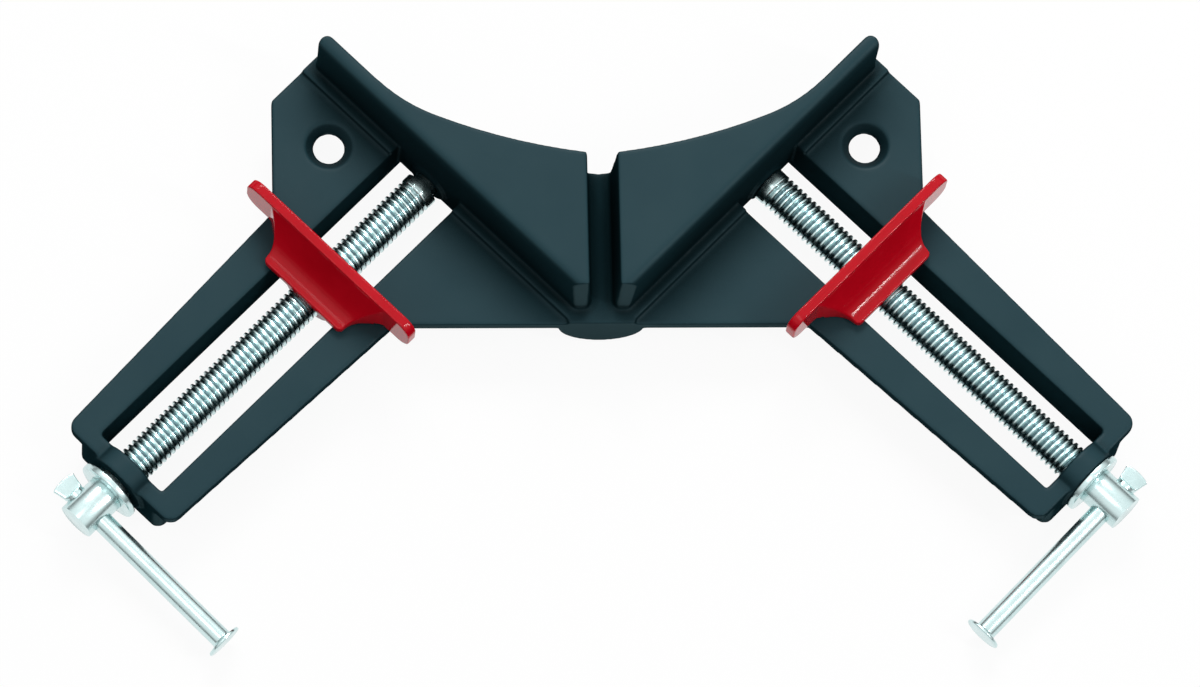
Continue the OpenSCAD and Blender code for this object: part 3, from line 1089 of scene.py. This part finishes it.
@dataclass(frozen=True)
class TommyBar:
    """Tommy bar forged from a nail: round rod, trumpet neck under a flat head, and a hammered tail.

    A section is a superellipse, from a circle at a power of 2 to nearly a rectangle at a high one.

    Attributes:
        tail_mm: Length of the hammered tail.
        tail_half_mm: Half its width across, and half its thickness.
        tail_power: Power of its sections.
        tail_steps: Sections along it.
        bulge_mm: How far the tail's end arches out.
        bulge_shares: Half widths of the sections in that arch, as shares of the tail's.
        bulge_thin: Thickness at the arch's top, as a share of the tail's.
        waist_power: How late the tail narrows to the rod: 1 is a straight taper.
        swell_from: Share of the tail's length after which it thickens to the rod.
        swell_power: How late it thickens.
        round_power: Power of a round section.
        rod_steps: Sections along the rod.
        neck_mm: Length of the trumpet neck.
        neck_share: How far the neck widens towards the head's radius.
        neck_power: How late it widens.
        neck_steps: Sections along it.
        rim_mm: Thickness of the head's rim.
        rim_edge: Sections of the head, as shares of its thickness and of its radius.
        axis_share: Share of the head's radius within which a point lies at the bar's axis.
        segments: Points round the bar.
        sharp_deg: Angle above which an edge is shaded sharp.
    """

    tail_mm: float = 4.3
    tail_half_mm: Pair = (3.27, 0.7)
    tail_power: float = 7.0
    tail_steps: int = 12
    bulge_mm: float = 0.75
    bulge_shares: tuple[float, ...] = (0.02, 0.2, 0.4, 0.6, 0.75, 0.87, 0.95, 0.99)
    bulge_thin: float = 0.75
    waist_power: float = 0.75
    swell_from: float = 0.82
    swell_power: float = 1.6
    round_power: float = 2.0
    rod_steps: int = 12
    neck_mm: float = 0.8
    neck_share: float = 0.92
    neck_power: float = 3.2
    neck_steps: int = 10
    rim_mm: float = 0.8
    rim_edge: tuple[Pair, ...] = (
        (0.12, 0.97),
        (0.35, 1.0),
        (0.65, 1.0),
        (0.86, 0.965),
        (0.97, 0.90),
        (1.0, 0.78),
        (1.0, 0.4),
        (1.0, 0.02),
    )
    axis_share: float = 0.2
    segments: int = 48
    sharp_deg: float = 55.0

    def tail_sections(self, tail: float, root: float, rod: float) -> list[Section]:
        """Lists the sections of the hammered tail, from its arched end.

        Args:
            tail: Place of the tail's end along the bar.
            root: Place where it joins the rod.
            rod: Radius of the rod.

        Returns:
            Place, half width, half thickness and power of each section.
        """
        wide, thick = (half * MM for half in self.tail_half_mm)
        arch = tail + self.bulge_mm * MM
        rows: list[Section] = []
        for share in self.bulge_shares:
            fall = 1.0 - math.sqrt(1.0 - share * share)
            half = thick * (self.bulge_thin + (1.0 - self.bulge_thin) * share)
            rows.append((tail + fall * (arch - tail), wide * share, half, self.tail_power))
        for index in range(self.tail_steps + 1):
            step = index / self.tail_steps
            waist = step**self.waist_power
            swell = max(0.0, (step - self.swell_from) / (1.0 - self.swell_from)) ** self.swell_power
            power = self.tail_power + (self.round_power - self.tail_power) * swell
            half_wide = wide + (rod - wide) * waist
            half_thick = thick + (rod - thick) * swell
            rows.append((arch + step * (root - arch), half_wide, half_thick, power))
        return rows

    def round_sections(self, root: float, tip: float, rod: float, head: float) -> list[Section]:
        """Lists the sections of the rod, the neck and the head, which are all round.

        Args:
            root: Place where the tail joins the rod.
            tip: Place of the nail head's face along the bar.
            rod: Radius of the rod.
            head: Radius of the nail head.

        Returns:
            Place, half width, half thickness and power of each section.
        """
        rim = tip - self.rim_mm * MM
        neck = rim - self.neck_mm * MM
        rounds = []
        for step in range(1, self.rod_steps + 1):
            rounds.append((root + (neck - root) * step / self.rod_steps, rod))
        for index in range(1, self.neck_steps + 1):
            curl = index / self.neck_steps
            radius = rod + (head - rod) * self.neck_share * curl**self.neck_power
            rounds.append((neck + curl * (rim - neck), radius))
        for step, share in self.rim_edge:
            rounds.append((rim + step * (tip - rim), head * share))
        return [(place, radius, radius, self.round_power) for place, radius in rounds]

    def shape(self, arm: ArmFrame, nodes: dict[str, bpy.types.Object]) -> bpy.types.Object:
        """Makes one bar where its CAD node lies.

        Args:
            arm: The arm that carries it.
            nodes: The CAD nodes.

        Returns:
            The new piece.
        """
        node = nodes[arm.node("tommy_bar")]
        low, high = arm.along(node)
        centre = arm.origin + arm.out * (low + high) / 2.0
        ahead = -arm.bar_axis
        places = [vertex.co - centre for vertex in node.data.vertices]
        along = [place.dot(ahead) for place in places]
        spans = [(place - ahead * place.dot(ahead)).length for place in places]
        tail, tip, head = min(along), max(along), max(spans)
        # The rod is the thinnest round on the outer half of the way from the screw to the nail head.
        rounds = [span for span, reach in zip(spans, along) if reach > tip / 2.0]
        rod = min(span for span in rounds if span > self.axis_share * head)
        root = tail + self.tail_mm * MM
        sections = self.tail_sections(tail, root, rod) + self.round_sections(root, tip, rod, head)
        axes = (arm.out, ahead.cross(arm.out), ahead)
        shape = bmesh.new()
        rings = [self.ring(shape, section, centre, axes) for section in sections]
        for lower, upper in zip(rings, rings[1:]):
            for index in range(self.segments):
                after = (index + 1) % self.segments
                shape.faces.new((lower[index], lower[after], upper[after], upper[index]))
        shape.faces.new(rings[0])
        shape.faces.new(rings[-1])
        bmesh.ops.recalc_face_normals(shape, faces=shape.faces)
        piece = as_piece(arm.node("forged_bar"), shape)
        smooth_shade(piece, self.sharp_deg)
        return piece

    def ring(
        self,
        shape: bmesh.types.BMesh,
        section: Section,
        centre: Vector,
        axes: tuple[Vector, Vector, Vector],
    ) -> list[bmesh.types.BMVert]:
        """Adds the points round one section.

        Args:
            shape: The shape to add to.
            section: Place, half width, half thickness and power of the section.
            centre: Where the bar crosses the screw.
            axes: Directions of width, thickness and length.

        Returns:
            The new points, in order.
        """
        place, wide, thick, power = section
        across, lift, ahead = axes
        points = []
        for index in range(self.segments):
            turn = 2.0 * math.pi * index / self.segments
            cosine, sine = math.cos(turn), math.sin(turn)
            x = math.copysign(abs(cosine) ** (2.0 / power), cosine) * wide
            y = math.copysign(abs(sine) ** (2.0 / power), sine) * thick
            points.append(shape.verts.new(centre + ahead * place + across * x + lift * y))
        return points


@dataclass(frozen=True)
class ArmSet:
    """Everything that one arm carries: screw, bar, jaw, washers and ring.

    Attributes:
        arm: The arm's frame.
        screw: How the screw is made.
        bar: How the bar is made.
        jaw: How the jaw is rounded.
        washer: How the head washer is stamped.
        trim: How the thrust washer and the ring are stamped.
    """

    arm: ArmFrame
    screw: ClampScrew = ClampScrew()
    bar: TommyBar = TommyBar()
    jaw: CastSkin = CastSkin(voxel_mm=0.2, passes=16, triangles=70000)
    washer: Stamping = Stamping(0.32)
    trim: Stamping = Stamping(0.12, segments=2)

    def build(self, nodes: dict[str, bpy.types.Object], paint: Paintbox) -> None:
        """Makes and dresses the arm's pieces.

        Args:
            nodes: The CAD nodes.
            paint: The paints.
        """
        arm = self.arm
        turning = arm.node("screw_set")
        screw = self.screw.shape(arm, nodes, paint.material(ZINC))
        paint.dress(screw, ZINC, turning, arm.node("screw"))
        paint.dress(self.bar.shape(arm, nodes), ZINC, arm.node("bar"), arm.node("tommy_bar"))
        jaw = self.jaw.shape(nodes[arm.node("jaw")], arm.node("enamelled_jaw"))
        paint.dress(jaw, JAW, arm.node("jaw_body"), arm.node("jaw"))
        stamped = {
            "head_washer": self.washer,
            "thrust_washer": self.trim,
            "retaining_ring": self.trim,
        }
        for part, how in stamped.items():
            piece = how.shape(nodes[arm.node(part)], arm.node(f"stamped_{part}"))
            paint.dress(piece, ZINC, turning, arm.node(part))


@dataclass(frozen=True)
class Lamp:
    """Rectangular lamp that faces the clamp.

    Attributes:
        name: Its name.
        place_m: Where it hangs.
        size_m: Width and height of its face.
        power_w: Its power.
    """

    name: str
    place_m: Place
    size_m: Pair
    power_w: float

    def hang(self) -> None:
        """Puts the lamp into the scene, turned to the origin."""
        light = bpy.data.lights.new(self.name, "AREA")
        light.shape = "RECTANGLE"
        light.size, light.size_y = self.size_m
        light.energy = self.power_w
        lamp = bpy.data.objects.new(self.name, light)
        away = Vector(self.place_m).normalized()
        rise = (UP - away * UP.dot(away)).normalized()
        turn = Matrix((rise.cross(away), rise, away)).transposed().to_4x4()
        lamp.matrix_world = Matrix.Translation(self.place_m) @ turn
        bpy.context.scene.collection.objects.link(lamp)


@dataclass(frozen=True)
class Studio:
    """Plain bright studio with the photograph's camera.

    Attributes:
        aim_mm: Point that the middle of the picture shows.
        distance_mm: From the camera to that point.
        azimuth_deg: How far the view turns from straight ahead, towards +X.
        elevation_deg: How far the camera looks down.
        roll_deg: How far the picture is turned.
        lens_mm: Focal length.
        sensor_mm: Width of the sensor.
        clip_m: Nearest and farthest distance that the camera shows.
        floor_m: Half the floor's width.
        floor_drop_mm: How far the floor lies under the clamp.
        floor_grey: Colour of the floor, as light meets it.
        floor_rough: Its roughness.
        floor_white: How much of the floor's picture is plain white, and the rest lit.
        sky: Strength of the light from all round.
        horizon: Share of that light that comes in level.
        full_sky: Height, as the sine of its angle, from which all of it comes.
        lamps: One wide lamp behind the clamp, a weak fill over it, and two strips for the gloss.
    """

    aim_mm: Place = (-0.53, -49.57, 3.0)
    distance_mm: float = 2135.8
    azimuth_deg: float = 11.812
    elevation_deg: float = 71.821
    roll_deg: float = 11.076
    lens_mm: float = 270.85
    sensor_mm: float = 36.0
    clip_m: Span = (0.05, 30.0)
    floor_m: float = 4.0
    floor_drop_mm: float = 0.05
    floor_grey: Colour = (0.92, 0.92, 0.92)
    floor_rough: float = 0.9
    floor_white: float = 0.93
    sky: float = 0.50
    horizon: float = 0.08
    full_sky: float = 0.65
    lamps: tuple[Lamp, ...] = (
        Lamp("key", (0.10, 1.00, 1.15), (0.6, 0.6), 11.0),
        Lamp("fill", (-0.35, -0.20, 1.5), (0.5, 0.5), 1.65),
        Lamp("strip_right", (0.95, -0.40, 1.1), (0.04, 0.6), 4.4),
        Lamp("strip_back", (-0.40, 0.95, 1.15), (0.04, 0.4), 2.2),
    )

    def build(self, bench: float) -> None:
        """Sets up floor, light and camera.

        Args:
            bench: Height of the surface that the clamp lies on.
        """
        bpy.context.scene.view_settings.view_transform = "Standard"
        self.floor(bench)
        self.world()
        for lamp in self.lamps:
            lamp.hang()
        self.camera()

    def floor(self, bench: float) -> None:
        """Lays the white floor, which keeps a faint shadow.

        Args:
            bench: Height of the surface that the clamp lies on.
        """
        height = bench - self.floor_drop_mm * MM
        shape = bmesh.new()
        bmesh.ops.create_grid(shape, x_segments=1, y_segments=1, size=self.floor_m)
        bmesh.ops.translate(shape, verts=shape.verts, vec=(0.0, 0.0, height))
        floor = as_piece("floor", shape)
        floor.data.materials.append(self.floor_paint())

    def floor_paint(self) -> bpy.types.Material:
        """Makes the floor's paint: nearly plain white to the camera, and grey to the light.

        Returns:
            The new material.
        """
        material = bpy.data.materials.new("white_floor")
        material.use_nodes = True
        sheet = NodeSheet(material.node_tree)
        shader = sheet.tree.nodes["Principled BSDF"]
        sheet.feed(shader.inputs["Base Color"], self.floor_grey)
        sheet.feed(shader.inputs["Roughness"], self.floor_rough)
        sheet.feed(shader.inputs["Specular IOR Level"], 0.0)
        path = sheet.add("ShaderNodeLightPath").outputs
        seen = sheet.math("MAXIMUM", path["Is Camera Ray"], path["Is Glossy Ray"])
        shown = sheet.math("MAXIMUM", seen, path["Is Transmission Ray"])
        glow = sheet.add("ShaderNodeEmission")
        mix = sheet.add("ShaderNodeMixShader")
        share, lit, white = mix.inputs
        sheet.link(sheet.math("MULTIPLY", shown, self.floor_white), share)
        sheet.link(shader.outputs["BSDF"], lit)
        sheet.link(glow.outputs["Emission"], white)
        surface = sheet.tree.nodes["Material Output"].inputs["Surface"]
        sheet.link(mix.outputs["Shader"], surface)
        return material

    def world(self) -> None:
        """Lights the scene from all round, more from above than from the sides."""
        world = bpy.data.worlds.new("studio")
        bpy.context.scene.world = world
        world.use_nodes = True
        sheet = NodeSheet(world.node_tree)
        shader = sheet.tree.nodes["Background"]
        sheet.feed(shader.inputs["Color"], (1.0, 1.0, 1.0))
        height = sheet.part(sheet.add("ShaderNodeTexCoord").outputs["Generated"], "Z")
        rise = sheet.spread(height, (0.0, self.full_sky), (self.horizon, 1.0), smooth=True)
        path = sheet.add("ShaderNodeLightPath").outputs
        strength = sheet.spread(path["Is Glossy Ray"], (0.0, 1.0), (self.sky, 1.0))
        light = sheet.math("MULTIPLY", rise, strength)
        shown = sheet.math("MAXIMUM", light, path["Is Camera Ray"])
        sheet.link(shown, shader.inputs["Strength"])

    def camera(self) -> None:
        """Puts the camera where the photograph was taken from."""
        azimuth = math.radians(self.azimuth_deg)
        elevation = math.radians(self.elevation_deg)
        roll = math.radians(self.roll_deg)
        east = math.sin(azimuth) * math.cos(elevation)
        north = math.cos(azimuth) * math.cos(elevation)
        ahead = Vector((east, north, -math.sin(elevation)))
        level = Vector((math.cos(azimuth), -math.sin(azimuth), 0.0))
        above = level.cross(ahead)
        right = level * math.cos(roll) + above * math.sin(roll)
        up = above * math.cos(roll) - level * math.sin(roll)
        turn = Matrix((right, up, -ahead)).transposed().to_4x4()
        eye = Vector(self.aim_mm) * MM - ahead * self.distance_mm * MM
        data = bpy.data.cameras.new("camera")
        data.sensor_width = self.sensor_mm
        data.lens = self.lens_mm
        data.clip_start, data.clip_end = self.clip_m
        camera = bpy.data.objects.new("camera", data)
        camera.matrix_world = Matrix.Translation(eye) @ turn
        bpy.context.scene.collection.objects.link(camera)
        bpy.context.scene.camera = camera


@dataclass
class CornerClamp:
    """The whole clamp.

    Attributes:
        frame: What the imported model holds.
        casting: How the body casting is rounded.
        paint: Its paints.
    """

    frame: dict
    casting: CastSkin = CastSkin(voxel_mm=0.35, passes=12, triangles=190000)
    paint: Paintbox = field(default_factory=Paintbox)

    def build(self) -> None:
        """Makes every piece of the clamp."""
        nodes = self.frame["nodes"]
        body = self.casting.shape(nodes["body_casting"], "enamelled_casting")
        self.paint.dress(body, CAST, "casting", "body_casting")
        for side in ArmSide:
            ArmSet(ArmFrame.from_joints(side, self.frame["joints"])).build(nodes, self.paint)


def main() -> None:
    """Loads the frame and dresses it."""
    logging.basicConfig(level=logging.INFO, format="%(name)s: %(message)s")
    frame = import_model()
    CornerClamp(frame).build()
    Studio().build(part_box("body_casting")[0].z)
    bpy.context.view_layer.update()


if __name__ == "__main__":
    main()
